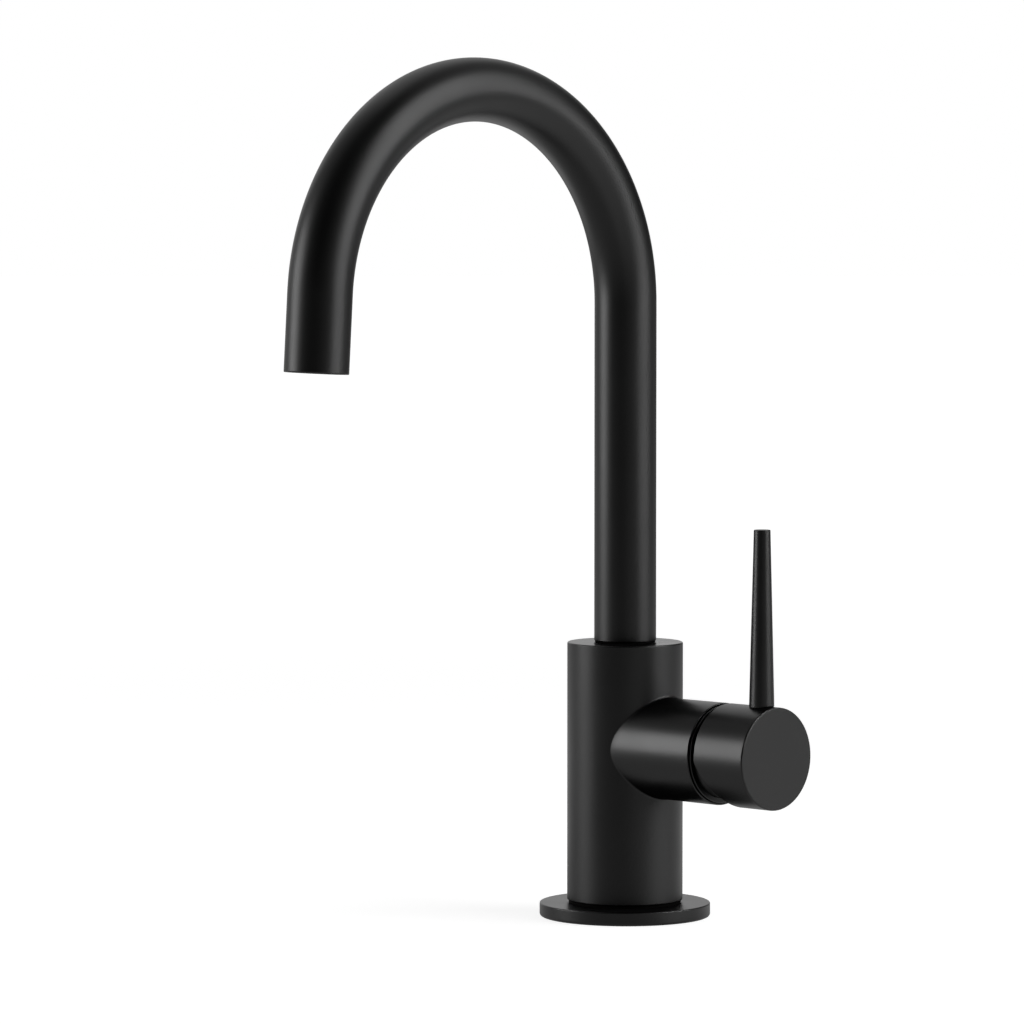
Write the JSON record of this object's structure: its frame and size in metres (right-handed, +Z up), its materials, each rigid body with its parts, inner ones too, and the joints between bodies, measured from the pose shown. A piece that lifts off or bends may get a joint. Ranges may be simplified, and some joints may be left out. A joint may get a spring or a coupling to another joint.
{
  "type": "gooseneck bar faucet",
  "caption": "Deck-mounted single-hole bar faucet: swivelling gooseneck spout on an upright body, with a side mixing valve worked by a tilting, turning cap and upright lever.",
  "frame": {"origin": "centre of the base flange's underside, on the deck", "axes": "+Z up along the body and the spout's swivel axis; at rest the spout points to -Y and the handle's branch to +X"},
  "size_m": [0.1038, 0.1925, 0.3059],
  "materials": {
    "black_finish": "matte black powder coat with a very fine grain",
    "satin_black": "smooth satin black electro-coat",
    "brass": "machined brass, lightly brushed",
    "steel": "plain machined stainless steel",
    "acetal": "moulded acetal, dark grey",
    "white_plastic": "moulded off-white plastic",
    "ceramic": "lapped alumina ceramic",
    "seal_rubber": "black rubber"
  },
  "bodies": {
    "fixed": {"base_flange": "black_finish", "base_gasket": "seal_rubber", "inlet_manifold": "brass", "manifold_seals": "seal_rubber", "manifold_screws": "steel", "faucet_body": "black_finish", "cartridge_base": "white_plastic", "port_seals": "seal_rubber", "fixed_disc": "ceramic", "cartridge_housing": "white_plastic", "bonnet_nut": "brass", "bonnet_dome": "satin_black", "spout_bush": "acetal", "retaining_clip": "steel"},
    "spout": {"spout_hub": "brass", "hub_o_rings": "seal_rubber", "glide_ring": "acetal", "spout_tube": "black_finish", "outlet_bush": "brass", "aerator_housing": "satin_black", "aerator_core": "acetal", "aerator_screen": "steel", "aerator_washer": "seal_rubber"},
    "temperature_guide": {"stem_guide": "acetal", "pivot_pin": "steel"},
    "disc_slider": {"moving_disc": "ceramic", "disc_carrier": "acetal"},
    "handle": {"stem": "brass", "handle_cap": "satin_black", "lever": "satin_black", "handle_set_screw": "steel"}
  },
  "joints": [
    {"name": "spout_swivel", "type": "hinge", "parent": "fixed", "child": "spout", "pos_m": [0, 0, 0.1], "axis": [0, 0, 1], "continuous": true},
    {"name": "temperature_turn", "type": "hinge", "parent": "fixed", "child": "temperature_guide", "pos_m": [0, 0, 0.06172], "axis": [1, 0, 0], "range_deg": [-45, 45]},
    {"name": "flow_tilt", "type": "hinge", "parent": "temperature_guide", "child": "handle", "pos_m": [0.047, 0, 0.06172], "axis": [0, 1, 0], "range_deg": [0, 25]},
    {"name": "disc_slide", "type": "slide", "parent": "temperature_guide", "child": "disc_slider", "axis": [0, 0, 1], "range_m": [0, 0.00508]}
  ],
  "couplings": [
    {"joint": "disc_slide", "follows": "flow_tilt", "m_per_rad": 0.011623}
  ]
}
